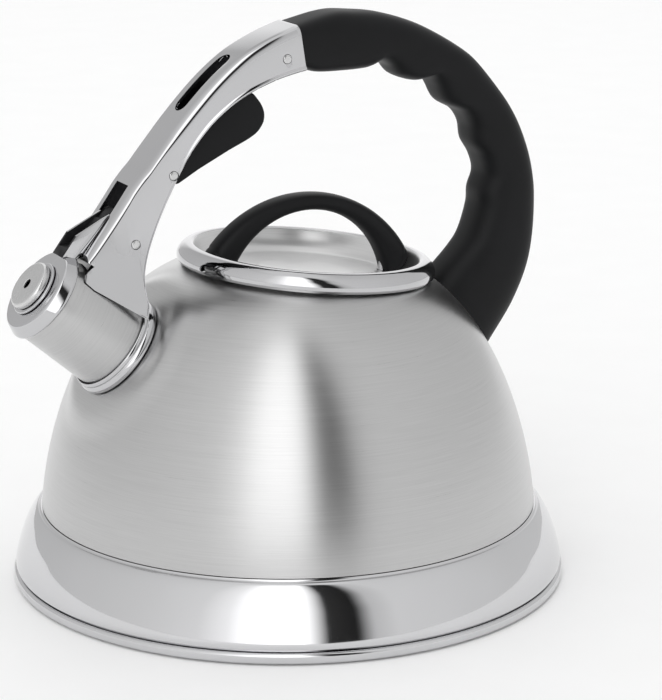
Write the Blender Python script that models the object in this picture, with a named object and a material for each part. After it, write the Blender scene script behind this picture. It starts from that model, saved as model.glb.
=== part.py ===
"""Stovetop whistling kettle: a domed steel body with a polished skirt and a capped base, a lift-off
lid, a steel bracket and a moulded grip that arch over the lid, and a squeeze trigger that swings the
whistling cover off the spout through a push rod. Metres, +Z up, spout towards -X, symmetric about XZ."""

import math

import bmesh
import bpy
from mathutils import Matrix, Vector

MM = 0.001
GAP = 0.3 * MM
SHEET = 0.8 * MM
TURN = 36
DOME_TURN = 48
DOME_ROWS = 12
SPOUT_TURN = 28
SMALL_TURN = 12

SEAM_RADIUS = 99.3 * MM
SEAM_HEIGHT = 30.0 * MM
DOME_START = 24.9 * MM
DOME_RISE = 106.6 * MM
DOME_TOP = 129.6 * MM

MOUTH_CENTRE = Vector((7.9, 0.0, 122.2)) * MM
MOUTH_TILT = math.radians(5.3)
MOUTH_RADIUS = 44.0 * MM

SPOUT_START = Vector((-52.5, 0.0, 85.0)) * MM
SPOUT_RISE = math.radians(38.5)
SPOUT_HOLE = 17.0 * MM
COLLAR_SEAT = 24.8 * MM
SEAT_REACH = 38.5 * MM
SEAT_EASE = 17.0 * MM

BRACKET_HALF = 11.0 * MM
BRACKET_WALL = 1.2 * MM
BRACKET_CORNER = 3.6 * MM
FLARE_TOP = 150.0 * MM
FLARE_DEPTH = 36.0 * MM
FLARE_WIDTH = 6.0 * MM

TRIGGER_PIVOT = Vector((-53.1, 0.0, 168.4)) * MM
COVER_PIVOT = Vector((-73.3, 0.0, 153.6)) * MM
ROD_TRIGGER_END = Vector((-58.8, 0.0, 172.5)) * MM
ROD_COVER_END = Vector((-71.2, 0.0, 152.0)) * MM
GRIP_PIN = Vector((-4.9, 0.0, 209.5)) * MM
TANG_RIVET = Vector((-69.4, 0.0, 143.4)) * MM
RIVET_SHANK = 1.2 * MM
RIVET_HEAD = 1.7 * MM
HINGE_PIN = 0.8 * MM
ROD_PIN = 0.6 * MM
ROD_EYE = 1.6 * MM
ROD_WAIST = 0.9 * MM
SCREW_POST = 34.5 * MM
THROUGH = 30.0 * MM

LID_FRAME = Matrix.Translation(MOUTH_CENTRE) @ Matrix.Rotation(MOUTH_TILT, 4, "Y")
SPOUT_FRAME = Matrix.Translation(SPOUT_START) @ Matrix.Rotation(SPOUT_RISE - math.pi / 2, 4, "Y")


def remove_scene_objects():
    for item in list(bpy.data.objects):
        bpy.data.objects.remove(item, do_unlink=True)


def millimetres(*points):
    return [tuple(value * MM for value in point) for point in points]


def finish(name, colour, roughness, metallic):
    """A Principled material of its own for one sub-part."""
    material = bpy.data.materials.new(name + "_material")
    material.use_nodes = True
    shader = material.node_tree.nodes["Principled BSDF"]
    shader.inputs["Base Color"].default_value = (*colour, 1.0)
    shader.inputs["Roughness"].default_value = roughness
    shader.inputs["Metallic"].default_value = metallic
    return material


def satin_steel(name):
    return finish(name, (0.62, 0.62, 0.62), 0.34, 1.0)


def polished_steel(name):
    return finish(name, (0.80, 0.80, 0.82), 0.08, 1.0)


def black_plastic(name):
    return finish(name, (0.022, 0.023, 0.026), 0.48, 0.0)


def silicone(name):
    return finish(name, (0.10, 0.10, 0.11), 0.62, 0.0)


def aluminium(name):
    return finish(name, (0.72, 0.73, 0.74), 0.40, 1.0)


def add_object(name, mesh_maker, material, origin=Vector((0.0, 0.0, 0.0))):
    """Link a mesh as a named object whose origin lies at the given point."""
    mesh = bpy.data.meshes.new(name)
    bmesh.ops.recalc_face_normals(mesh_maker, faces=mesh_maker.faces)
    bmesh.ops.translate(mesh_maker, vec=-origin, verts=mesh_maker.verts)
    mesh_maker.to_mesh(mesh)
    mesh_maker.free()
    item = bpy.data.objects.new(name, mesh)
    item.location = origin
    bpy.context.scene.collection.objects.link(item)
    if material:
        mesh.materials.append(material)
        mesh.shade_smooth()
        mesh.set_sharp_from_angle(angle=math.radians(35))
    return item


def hide_cutter(item):
    item.hide_render = True
    item.display_type = "WIRE"
    return item


def combine(target, tool, operation="DIFFERENCE"):
    modifier = target.modifiers.new(operation.lower(), "BOOLEAN")
    modifier.operation = operation
    modifier.solver = "EXACT"
    modifier.object = hide_cutter(tool)


def loft(sections, closed=False):
    """Skin a list of rings of equal length, capping both ends unless the rings close on themselves."""
    maker = bmesh.new()
    rings = [[maker.verts.new(point) for point in section] for section in sections]
    count = len(rings[0])
    pairs = list(zip(rings, rings[1:]))
    if closed:
        pairs.append((rings[-1], rings[0]))
    for first, second in pairs:
        for i in range(count):
            j = (i + 1) % count
            maker.faces.new((first[i], first[j], second[j], second[i]))
    if not closed:
        maker.faces.new(rings[0])
        maker.faces.new(rings[-1])
    return maker


def lathe(outline, frame=Matrix.Identity(4), segments=TURN):
    """Turn a closed outline of (radius, height) about a frame's Z axis. Radius 0 makes a pole."""
    maker = bmesh.new()
    columns = []
    poles = {}
    for step in range(segments):
        angle = step * math.tau / segments
        column = []
        for index, (radius, height) in enumerate(outline):
            if radius == 0.0 and index in poles:
                column.append(poles[index])
                continue
            point = Vector((radius * math.cos(angle), radius * math.sin(angle), height))
            vertex = maker.verts.new(frame @ point)
            if radius == 0.0:
                poles[index] = vertex
            column.append(vertex)
        columns.append(column)
    count = len(outline)
    for step in range(segments):
        here = columns[step]
        there = columns[(step + 1) % segments]
        for i in range(count):
            j = (i + 1) % count
            corners = [here[i], here[j], there[j], there[i]]
            unique = list(dict.fromkeys(corners))
            if len(unique) > 2:
                maker.faces.new(unique)
    return maker


def slab(outline, half_width):
    """Extrude an outline of (x, z) symmetrically along Y."""
    near = [(x, -half_width, z) for x, z in outline]
    far = [(x, half_width, z) for x, z in outline]
    return loft([near, far])


def rod_along_y(centre, radius, half_length, segments=SMALL_TURN):
    outline = [(0.0, -half_length), (radius, -half_length), (radius, half_length), (0.0, half_length)]
    frame = Matrix.Translation(centre) @ Matrix.Rotation(-math.pi / 2, 4, "X")
    return lathe(outline, frame, segments)


def smooth_curve(points, steps=6):
    """A Catmull-Rom curve through 2-D points, with a fixed number of steps for each span."""
    ends = [2 * Vector(points[0]) - Vector(points[1])]
    ends += [Vector(point) for point in points]
    ends.append(2 * Vector(points[-1]) - Vector(points[-2]))
    curve = []
    for a, b, c, d in zip(ends, ends[1:], ends[2:], ends[3:]):
        for step in range(steps):
            t = step / steps
            curve.append(
                0.5
                * (2 * b + (c - a) * t + (2 * a - 5 * b + 4 * c - d) * t**2 + (3 * b - a - 3 * c + d) * t**3)
            )
    curve.append(ends[-2])
    return curve


def resample(curve, count):
    """Points at equal arc lengths along a polyline."""
    lengths = [0.0]
    for a, b in zip(curve, curve[1:]):
        lengths.append(lengths[-1] + (b - a).length)
    result = []
    span = 0
    for step in range(count):
        target = lengths[-1] * step / (count - 1)
        while span < len(curve) - 2 and lengths[span + 1] < target:
            span += 1
        share = (target - lengths[span]) / (lengths[span + 1] - lengths[span])
        result.append(curve[span].lerp(curve[span + 1], share))
    return result


def ease(value):
    value = min(max(value, 0.0), 1.0)
    return value * value * (3 - 2 * value)


def dome_radius(height, offset=0.0):
    """Radius of the dome's wall at a height: straight at the seam, round over the shoulder."""
    share = (height - DOME_START) / DOME_RISE
    return SEAM_RADIUS * (1 - share**1.625) ** (1 / 3.06) + offset


def dome_outline(offset, low, high, rows):
    points = []
    for row in range(rows):
        share = row / (rows - 1)
        height = low + (high - low) * math.sin(share * math.pi / 2)
        slope = (dome_radius(height + MM) - dome_radius(height - MM)) / (2 * MM)
        normal = Vector((1.0, -slope)).normalized()
        points.append((dome_radius(height) + offset * normal.x, height + offset * normal.y))
    return points


def dome_solid(name):
    """A solid cutter just outside the dome, for whatever stands on it."""
    low = 40 * MM
    outline = dome_outline(GAP, low, DOME_TOP, DOME_ROWS)
    outline += [(0.0, outline[-1][1]), (0.0, low)]
    return add_object(name, lathe(outline, segments=DOME_TURN), None)


def raise_spout_seat(item):
    """Press both faces of the wall out to a flat seat for the spout's collar."""
    axis = SPOUT_FRAME.to_3x3() @ Vector((0.0, 0.0, 1.0))
    vertices = item.data.vertices
    ring = 2 * DOME_ROWS
    for index in range(len(vertices)):
        column, row = divmod(index, ring)
        if row >= DOME_ROWS:
            continue
        reach = vertices[index].co - SPOUT_START
        along = reach.dot(axis)
        if along < 0.0:
            continue
        across = (reach - along * axis).length
        shift = axis * (COLLAR_SEAT - along) * ease((SEAT_REACH - across) / SEAT_EASE)
        partner = vertices[column * ring + ring - 1 - row]
        vertices[index].co += shift
        partner.co += shift


def make_kettle_dome():
    outer = dome_outline(0.0, SEAM_HEIGHT, DOME_TOP, DOME_ROWS)
    inner = dome_outline(-SHEET, SEAM_HEIGHT, DOME_TOP, DOME_ROWS)
    inner[0] = (inner[0][0], SEAM_HEIGHT)
    shell = lathe(outer + inner[::-1], segments=DOME_TURN)
    item = add_object("kettle_dome", shell, satin_steel("kettle_dome"))
    raise_spout_seat(item)
    mouth = [(0.0, -THROUGH), (MOUTH_RADIUS, -THROUGH), (MOUTH_RADIUS, THROUGH), (0.0, THROUGH)]
    combine(item, add_object("cut_mouth", lathe(mouth, LID_FRAME), None))
    bore = [(0.0, 2 * MM), (SPOUT_HOLE, 2 * MM), (SPOUT_HOLE, 2 * THROUGH), (0.0, 2 * THROUGH)]
    combine(item, add_object("cut_spout_hole", lathe(bore, SPOUT_FRAME), None))


def make_skirt_pan():
    """The polished lower pan: a flared wall with a closed bottom."""
    outer = millimetres(
        (99.3, 29.7), (101.3, 28.3), (103.5, 25.6), (105.7, 21.6), (107.3, 17.6), (108.6, 13.6),
        (109.6, 9.6), (110.1, 6.4), (109.4, 5.1),
    )
    inner = millimetres(
        (0.0, 5.1), (0.0, 5.9), (108.2, 5.9), (109.2, 7.0), (107.7, 13.6), (104.8, 21.4),
        (102.7, 25.0), (98.5, 28.9), (98.5, 29.7),
    )
    add_object("skirt_pan", lathe(outer + inner), polished_steel("skirt_pan"))


def make_base_cap():
    """The stainless cap that closes the heat spreader in under the pan."""
    outline = millimetres(
        (0.0, 0.0), (108.6, 0.0), (110.6, 0.7), (111.0, 2.3), (110.8, 4.1), (109.7, 4.8),
        (101.2, 4.8), (101.2, 1.0), (0.0, 1.0),
    )
    add_object("base_cap", lathe(outline), polished_steel("base_cap"))


def make_heat_disc():
    outline = millimetres((0.0, 1.3), (100.9, 1.3), (100.9, 4.8), (0.0, 4.8))
    add_object("heat_disc", lathe(outline), aluminium("heat_disc"))


def make_spout_barrel():
    outline = millimetres(
        (19.0, 25.1), (18.7, 34.0), (18.3, 44.0), (17.8, 54.0), (17.5, 62.8),
        (16.7, 62.8), (17.0, 54.0), (17.5, 44.0), (17.9, 34.0), (18.2, 25.1),
    )
    add_object("spout_barrel", lathe(outline, SPOUT_FRAME, SPOUT_TURN), satin_steel("spout_barrel"))


def make_spout_collar():
    outline = millimetres(
        (19.4, 25.1), (20.7, 25.1), (21.0, 26.0), (21.0, 27.2), (20.5, 28.1), (20.1, 28.5),
        (20.2, 29.3), (19.9, 30.2), (19.5, 30.5), (19.2, 30.1), (19.3, 28.5),
    )
    add_object("spout_collar", lathe(outline, SPOUT_FRAME, SPOUT_TURN), polished_steel("spout_collar"))


def lid_dish_top():
    """The lid's upper profile from its centre to its crest, as (radius, height) in the lid's frame."""
    return millimetres(
        (0.0, 0.6), (19.6, 0.6), (20.3, 0.0), (36.5, 0.0), (38.5, 0.4), (40.5, 1.8),
        (42.5, 4.2), (44.0, 7.0), (44.9, 8.6),
    )


def make_lid_shell():
    rim = millimetres(
        (46.0, 9.2), (48.0, 8.9), (50.0, 7.4), (51.2, 5.4), (51.5, 4.0), (51.3, 2.5), (50.5, 1.5),
        (49.9, 2.1), (50.5, 3.4), (48.8, 7.1), (46.2, 8.1), (44.0, 5.4), (42.9, 3.2), (41.0, 0.9),
        (36.5, -0.8), (0.0, -0.8),
    )
    item = add_object("lid_shell", lathe(lid_dish_top() + rim, LID_FRAME), satin_steel("lid_shell"))
    for side in (-1, 1):
        combine(item, lid_post("cut_shell_hole", side, 1.9 * MM, -4 * MM, 6 * MM))


def lid_post(name, side, radius, low, high):
    """A plain round tool standing on one of the lid's two screw positions."""
    frame = LID_FRAME @ Matrix.Translation((side * SCREW_POST, 0.0, 0.0))
    outline = [(0.0, low), (radius, low), (radius, high), (0.0, high)]
    return add_object(name, lathe(outline, frame, SMALL_TURN), None)


def make_lid_plug():
    outline = millimetres(
        (38.6, -1.9), (38.6, -1.1), (41.0, -1.1), (41.4, -1.6), (41.4, -9.0), (41.0, -9.6),
        (40.6, -9.0), (40.6, -1.9),
    )
    add_object("lid_plug", lathe(outline, LID_FRAME), satin_steel("lid_plug"))


def lid_arch_section(angle, share):
    """One section of the lid handle's bar between its outer and its inner arc."""
    centre = 0.5 * MM
    outer = Vector((centre + 52.3 * MM * math.sin(angle), -20.4 * MM + 52.3 * MM * math.cos(angle)))
    swing = angle * 1.49
    inner = Vector((centre + 35.3 * MM * math.sin(swing), -10.2 * MM + 35.3 * MM * math.cos(swing)))
    middle = (outer + inner) / 2
    radial = (outer - inner) / 2
    half = (5.6 + 1.2 * share**2) * MM
    ring = []
    for step in range(12):
        turn = step * math.tau / 12
        across = half * math.copysign(abs(math.sin(turn)) ** 0.8, math.sin(turn))
        up = math.copysign(abs(math.cos(turn)) ** 0.8, math.cos(turn))
        point = middle + radial * up
        ring.append(LID_FRAME @ Vector((point.x, across, point.y)))
    return ring


def make_lid_handle():
    """A flat arched bar whose feet are cut to the dish they stand on."""
    limit = math.radians(65)
    steps = 22
    angles = [limit * (2 * step / steps - 1) for step in range(steps + 1)]
    sections = [lid_arch_section(angle, abs(angle) / limit) for angle in angles]
    item = add_object("lid_handle", loft(sections), black_plastic("lid_handle"))
    top = [(radius, height + GAP) for radius, height in lid_dish_top()]
    below = millimetres((47.0, 9.6), (53.0, 9.6), (53.0, -30.0), (0.0, -30.0))
    combine(item, add_object("cut_dish", lathe(top + below, LID_FRAME), None))
    for side in (-1, 1):
        combine(item, lid_post("cut_handle_hole", side, 1.8 * MM, -4 * MM, 9.3 * MM))


def make_lid_fasteners():
    for index, side in ((1, -1), (2, 1)):
        frame = LID_FRAME @ Matrix.Translation((side * SCREW_POST, 0.0, 0.0))
        washer = millimetres((1.9, -1.9), (3.6, -1.9), (3.6, -1.1), (1.9, -1.1))
        name = f"lid_washer_{index}"
        add_object(name, lathe(washer, frame, SMALL_TURN), polished_steel(name))
        screw = millimetres(
            (0.0, -4.3), (1.8, -4.3), (2.7, -3.4), (2.7, -2.2), (1.5, -2.2), (1.5, 8.2), (0.0, 8.9),
        )
        name = f"lid_screw_{index}"
        add_object(name, lathe(screw, frame, SMALL_TURN), polished_steel(name))


def bracket_stations():
    """Top and lower edge of the bracket, from its front end over the spout to the grip."""
    top = millimetres(
        (-88.5, 140.5), (-85.5, 144.2), (-82.0, 148.5), (-78.5, 153.0), (-75.0, 157.7), (-72.3, 161.4),
        (-69.8, 164.8), (-66.5, 168.6), (-63.0, 172.2), (-60.0, 175.8), (-57.0, 179.4), (-54.0, 183.0),
        (-51.0, 186.6), (-44.6, 193.6), (-37.6, 200.6), (-30.4, 206.8), (-23.2, 211.9), (-15.5, 215.9),
        (-7.6, 219.2), (0.6, 221.9),
    )
    low = millimetres(
        (-91.4, 130.5), (-85.3, 126.7), (-79.3, 122.8), (-73.2, 118.8), (-67.2, 114.9), (-66.2, 119.5),
        (-66.9, 125.0), (-66.8, 131.5), (-65.0, 138.5), (-61.6, 147.0), (-57.0, 157.0), (-51.4, 167.5),
        (-46.3, 175.9), (-37.9, 185.6), (-29.4, 192.5), (-21.0, 197.4), (-12.5, 200.8), (-6.8, 202.5),
        (-1.6, 203.7), (3.3, 204.6),
    )
    return list(zip(top, low))


def bracket_half_width(height):
    """The channel's sides splay outwards below the flare's top, to straddle the spout."""
    drop = max(FLARE_TOP - height, 0.0) / FLARE_DEPTH
    return BRACKET_HALF + FLARE_WIDTH * drop**1.6


def channel_side(top, low, inset):
    """Half of one channel section, from its lower edge up to the middle of its top wall."""
    top = Vector(top)
    low = Vector(low)
    depth = (low - top).length
    down = (low - top) / depth
    radius = BRACKET_CORNER - inset
    side = []
    for share in (1.0, 0.7, 0.4):
        reach = BRACKET_CORNER + (depth - BRACKET_CORNER) * share
        point = top + down * reach
        side.append((bracket_half_width(point.y) - inset, point))
    for step in range(4):
        turn = step * math.pi / 6
        point = top + down * (BRACKET_CORNER - radius * math.sin(turn))
        side.append((bracket_half_width(point.y) - inset - radius * (1 - math.cos(turn)), point))
    return side


def channel_section(top, low):
    outer = channel_side(top, low, 0.0)
    inner = channel_side(top, low, BRACKET_WALL)
    loop = [(-y, point) for y, point in outer]
    loop += [(y, point) for y, point in reversed(outer)]
    loop += [(y, point) for y, point in inner]
    loop += [(-y, point) for y, point in reversed(inner)]
    return [Vector((point.x, y, point.y)) for y, point in loop]


def clear_spout(item):
    """Trim a part to the spout's barrel and collar, with a small gap all round."""
    outline = millimetres(
        (0.0, 15.0), (21.4, 20.0), (21.4, 30.9), (19.3, 30.9), (19.1, 34.0), (18.7, 44.0), (18.2, 54.0),
        (17.9, 63.1), (0.0, 66.0),
    )
    combine(item, add_object("cut_spout_clearance", lathe(outline, SPOUT_FRAME, SPOUT_TURN), None))


def cut_window(item):
    """The square window, open towards the spout, in which the cover's arm swings."""
    outline = millimetres((-66.4, 162.6), (-72.6, 167.6), (-98.0, 145.0), (-86.0, 134.0), (-76.0, 150.4))
    combine(item, add_object("cut_window", slab(outline, 5.4 * MM), None))


def cut_top_slot(item):
    """The long slot with round ends in the curved part of the top wall."""
    start = Vector((-46.5, 191.0)) * MM
    end = Vector((-24.4, 211.0)) * MM
    along = (end - start).normalized()
    up = Vector((-along.y, along.x))
    radius = 3.4 * MM
    middle = (start + end) / 2
    half = (end - start).length / 2 - radius
    ring = []
    for step in range(16):
        turn = step * math.tau / 16 + math.pi / 16
        shift = half if math.cos(turn) > 0 else -half
        ring.append((shift + radius * math.cos(turn), radius * math.sin(turn)))
    sections = []
    for height in (-6 * MM, 8 * MM):
        base = middle + up * height
        sections.append([Vector((base.x + along.x * a, b, base.y + along.y * a)) for a, b in ring])
    combine(item, add_object("cut_top_slot", loft(sections), None))


def make_front_bracket():
    sections = [channel_section(top, low) for top, low in bracket_stations()]
    item = add_object("front_bracket", loft(sections), polished_steel("front_bracket"))
    cut_window(item)
    cut_top_slot(item)
    notch = millimetres((-92.5, 141.0), (-86.8, 136.9), (-93.5, 131.5))
    combine(item, add_object("cut_notch", slab(notch, THROUGH), None))
    clear_spout(item)
    for centre in (GRIP_PIN, TRIGGER_PIVOT, TANG_RIVET):
        hole = rod_along_y(centre, RIVET_SHANK + GAP, THROUGH)
        combine(item, add_object("cut_rivet_hole", hole, None))


def make_rivet(name, centre):
    """A shank with a low round head outside each wall of the bracket."""
    wall = bracket_half_width(centre.z)
    start = wall + GAP
    end = wall + GAP + 0.5 * MM
    outline = [
        (0.0, -end), (RIVET_HEAD * 0.8, -end), (RIVET_HEAD, -start), (RIVET_SHANK, -start),
        (RIVET_SHANK, start), (RIVET_HEAD, start), (RIVET_HEAD * 0.8, end), (0.0, end),
    ]
    frame = Matrix.Translation(centre) @ Matrix.Rotation(-math.pi / 2, 4, "X")
    add_object(name, lathe(outline, frame, SMALL_TURN), polished_steel(name), centre)


def make_mounting_tang():
    """A forked steel tang on the spout that the bracket and the cover's hinge pin are fixed to."""
    outline = millimetres(
        (-88.5, 133.0), (-70.5, 119.6), (-68.6, 132.0), (-66.4, 141.5), (-67.0, 147.0), (-70.6, 151.8),
        (-71.1, 154.4), (-73.4, 155.8), (-75.6, 154.4), (-78.0, 148.0),
    )
    item = add_object("mounting_tang", slab(outline, 6.9 * MM), satin_steel("mounting_tang"))
    middle = millimetres((-95.0, 142.9), (-78.5, 130.9), (-62.0, 137.5), (-60.0, 165.0), (-85.0, 165.0))
    combine(item, add_object("cut_tang_fork", slab(middle, 5.7 * MM), None))
    clear_spout(item)
    for centre, radius in ((TANG_RIVET, RIVET_SHANK), (COVER_PIVOT, HINGE_PIN)):
        combine(item, add_object("cut_tang_hole", rod_along_y(centre, radius + GAP, THROUGH), None))


def grip_curves(count):
    """Outer and inner edge of the grip, the inner one scalloped for four fingers."""
    outer = millimetres(
        (1.0, 222.0), (16.8, 225.6), (27.6, 225.3), (40.8, 223.2), (56.3, 218.0), (73.0, 208.8),
        (83.6, 200.1), (97.4, 182.8), (105.7, 166.0), (109.4, 149.3), (109.7, 132.5), (107.2, 116.2),
        (100.4, 100.4), (90.5, 86.0), (84.5, 78.0),
    )
    inner = millimetres(
        (3.7, 204.4), (12.0, 202.3), (30.6, 202.1), (37.5, 204.3), (42.4, 202.6), (46.4, 198.2),
        (53.4, 195.8), (59.4, 196.6), (63.4, 193.3), (67.6, 186.0), (75.2, 181.5), (79.1, 176.0),
        (80.4, 168.8), (84.4, 162.4), (86.3, 155.6), (84.0, 149.0), (83.5, 142.0), (79.8, 131.1),
        (74.8, 124.6), (67.0, 117.0), (58.5, 107.0),
    )
    return resample(smooth_curve(outer), count), resample(smooth_curve(inner), count)


def grip_section(outer, inner, half, power):
    """A rounded section between a point on the grip's outer edge and one on its inner edge."""
    middle = (outer + inner) / 2
    radial = (outer - inner) / 2
    ring = []
    for step in range(16):
        turn = step * math.tau / 16
        across = half * math.copysign(abs(math.sin(turn)) ** power, math.sin(turn))
        up = math.copysign(abs(math.cos(turn)) ** power, math.cos(turn))
        point = middle + radial * up
        ring.append(Vector((point.x, across, point.y)))
    return ring


def tang_frame():
    """Where the rear tang stands on the dome, its Z axis running up into the grip."""
    lean = math.radians(49.5)
    return Matrix.Translation(Vector((76.6, 0.0, 99.4)) * MM) @ Matrix.Rotation(lean, 4, "Y")


def box(low, high, frame=Matrix.Identity(4)):
    corners = [(low[0], low[1]), (high[0], low[1]), (high[0], high[1]), (low[0], high[1])]
    return loft([[frame @ Vector((x, y, z)) for x, y in corners] for z in (low[2], high[2])])


def make_grip():
    """The moulded grip: a tenon inside the bracket, a scalloped bow and a foot on the dome."""
    count = 40
    outer, inner = grip_curves(count)
    tenon = [
        (Vector((-11.5, 214.6)) * MM, Vector((-9.5, 203.4)) * MM),
        (Vector((1.4, 219.1)) * MM, Vector((3.4, 206.0)) * MM),
    ]
    sections = [grip_section(a, b, 9.0 * MM, 0.35) for a, b in tenon]
    for step in range(count):
        share = step / (count - 1)
        half = (10.9 + 1.5 * ease(share * 4) + 0.6 * ease(share * 3 - 2)) * MM
        sections.append(grip_section(outer[step], inner[step], half, 0.5 + 0.22 * ease(share * 6)))
    item = add_object("grip", loft(sections), black_plastic("grip"))
    combine(item, dome_solid("cut_grip_foot"))
    combine(item, add_object("cut_grip_pin", rod_along_y(GRIP_PIN, RIVET_SHANK + GAP, THROUGH), None))
    pocket = box((-1.8 * MM, -5.3 * MM, -8 * MM), (1.8 * MM, 5.3 * MM, 20.3 * MM), tang_frame())
    combine(item, add_object("cut_tang_pocket", pocket, None))
    bore = millimetres((0.0, -8.0), (1.8, -8.0), (1.8, 8.0), (3.3, 8.0), (3.3, 40.0), (0.0, 40.0))
    combine(item, add_object("cut_screw_bore", lathe(bore, screw_frame(), SMALL_TURN), None))


def screw_frame():
    """The rear screw's axis, square to the tang and 13 mm up it, pointing away from the lid."""
    return tang_frame() @ Matrix.Translation((0.0, 0.0, 13 * MM)) @ Matrix.Rotation(math.pi / 2, 4, "Y")


def make_rear_tang():
    item = add_object(
        "rear_tang",
        box((-1.5 * MM, -5 * MM, -8 * MM), (1.5 * MM, 5 * MM, 20 * MM), tang_frame()),
        satin_steel("rear_tang"),
    )
    combine(item, dome_solid("cut_tang_foot"))
    outline = millimetres((0.0, -8.0), (1.8, -8.0), (1.8, 8.0), (0.0, 8.0))
    combine(item, add_object("cut_tang_bore", lathe(outline, screw_frame(), SMALL_TURN), None))


def make_rear_screw():
    outline = millimetres(
        (0.0, -5.0), (1.5, -4.4), (1.5, 8.3), (2.9, 8.3), (2.9, 9.6), (2.0, 10.6), (0.0, 10.6),
    )
    add_object("rear_screw", lathe(outline, screw_frame(), SMALL_TURN), polished_steel("rear_screw"))


def make_trigger():
    """A black finger paddle with a hub on the bracket's pin and a short fork for the push rod."""
    outline = millimetres(
        (-52.4, 164.9), (-49.7, 163.7), (-40.4, 168.9), (-27.7, 175.1), (-19.2, 178.8), (-15.2, 181.2),
        (-12.6, 185.0), (-12.3, 188.6), (-13.6, 192.0), (-17.4, 197.0), (-22.0, 197.6), (-29.5, 194.3),
        (-37.5, 188.6), (-45.0, 180.0), (-49.6, 174.6), (-54.2, 175.2), (-57.8, 174.3), (-60.4, 173.4),
        (-60.8, 171.6), (-58.4, 170.4), (-56.6, 168.4), (-55.4, 166.0),
    )
    item = add_object("trigger", slab(outline, 7 * MM), black_plastic("trigger"), TRIGGER_PIVOT)
    slot = box((-64 * MM, -1.2 * MM, 168 * MM), (-56.5 * MM, 1.2 * MM, 178 * MM))
    combine(item, add_object("cut_trigger_slot", slot, None))
    for centre, radius in ((TRIGGER_PIVOT, RIVET_SHANK), (ROD_TRIGGER_END, ROD_PIN)):
        combine(item, add_object("cut_trigger_hole", rod_along_y(centre, radius + GAP, THROUGH), None))


def make_push_rod():
    """A flat link with a round eye at each end."""
    start = ROD_TRIGGER_END
    end = ROD_COVER_END
    along = (end - start).normalized()
    side = Vector((-along.z, 0.0, along.x))
    outline = []
    for centre, first, shares in ((start, 0.3, (0.15, 0.85)), (end, 1.3, (0.85, 0.15))):
        for step in range(7):
            turn = math.pi * (first + 1.4 * step / 6)
            outline.append(centre + (along * math.cos(turn) + side * math.sin(turn)) * ROD_EYE)
        waist = side * (ROD_WAIST if centre is end else -ROD_WAIST)
        outline += [start.lerp(end, share) + waist for share in shares]
    flat = [(point.x, point.z) for point in outline]
    item = add_object("push_rod", slab(flat, 0.8 * MM), satin_steel("push_rod"), start)
    for centre in (start, end):
        combine(item, add_object("cut_rod_hole", rod_along_y(centre, ROD_PIN + GAP, THROUGH), None))


def make_small_pin(name, centre, radius, half_length, origin):
    add_object(name, rod_along_y(centre, radius, half_length), polished_steel(name), origin)


def make_spout_cover():
    """The cap over the spout with the open channel arm that carries it to the hinge pin."""
    cap = millimetres(
        (6.3, 67.4), (15.9, 67.4), (17.9, 64.6), (17.9, 63.2), (18.4, 63.2), (18.8, 63.5), (18.8, 64.3),
        (17.0, 67.9), (16.4, 68.4), (6.3, 68.4),
    )
    item = add_object(
        "spout_cover",
        lathe(cap, SPOUT_FRAME, SPOUT_TURN),
        polished_steel("spout_cover"),
        COVER_PIVOT,
    )
    arm = millimetres(
        (-96.8, 139.9), (-91.0, 147.6), (-77.2, 154.6), (-76.4, 153.8), (-78.2, 151.2), (-87.8, 139.8),
        (-90.6, 138.8), (-95.4, 140.2),
    )
    combine(item, add_object("add_cover_arm", slab(arm, 5 * MM), None), "UNION")
    channel = millimetres(
        (-94.9, 142.7), (-89.4, 143.6), (-80.0, 152.4), (-72.0, 152.4), (-74.0, 160.0), (-92.0, 153.0),
        (-98.5, 144.1),
    )
    combine(item, add_object("cut_cover_channel", slab(channel, 3.8 * MM), None))
    knuckle = millimetres(
        (-80.0, 150.4), (-78.6, 152.9), (-74.4, 156.0), (-72.2, 156.0), (-70.6, 154.6), (-69.2, 152.4),
        (-69.6, 150.4), (-71.4, 149.7), (-74.0, 150.2), (-77.4, 149.9),
    )
    combine(item, add_object("add_cover_knuckle", slab(knuckle, 2.9 * MM), None), "UNION")
    slot = box((-73.3 * MM, -1.2 * MM, 146 * MM), (-66 * MM, 1.2 * MM, 160 * MM))
    combine(item, add_object("cut_cover_slot", slot, None))
    for centre, radius in ((COVER_PIVOT, HINGE_PIN), (ROD_COVER_END, ROD_PIN)):
        combine(item, add_object("cut_cover_hole", rod_along_y(centre, radius + GAP, THROUGH), None))


def make_cover_gasket():
    outline = millimetres(
        (6.6, 60.6), (15.4, 60.6), (16.0, 61.2), (16.0, 63.1), (17.4, 63.1), (17.4, 64.3), (12.0, 64.3),
        (12.0, 67.1), (6.6, 67.1),
    )
    gasket = lathe(outline, SPOUT_FRAME, SPOUT_TURN)
    add_object("cover_gasket", gasket, silicone("cover_gasket"), COVER_PIVOT)


def make_whistle():
    parts = {
        "whistle_base": millimetres(
            (3.6, 65.5), (5.9, 65.5), (5.9, 68.7), (11.2, 68.7), (11.2, 69.4), (10.8, 69.7), (3.6, 69.7),
        ),
        "whistle_plate": millimetres((1.5, 70.7), (8.7, 70.7), (8.7, 71.2), (1.5, 71.2)),
        "whistle_cup": millimetres(
            (9.0, 70.0), (9.9, 70.0), (9.9, 71.6), (9.5, 72.4), (8.7, 72.8), (2.0, 72.8), (2.0, 72.0),
            (8.5, 72.0), (9.0, 71.5),
        ),
    }
    for name, outline in parts.items():
        add_object(name, lathe(outline, SPOUT_FRAME, 2 * SMALL_TURN), polished_steel(name), COVER_PIVOT)


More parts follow.
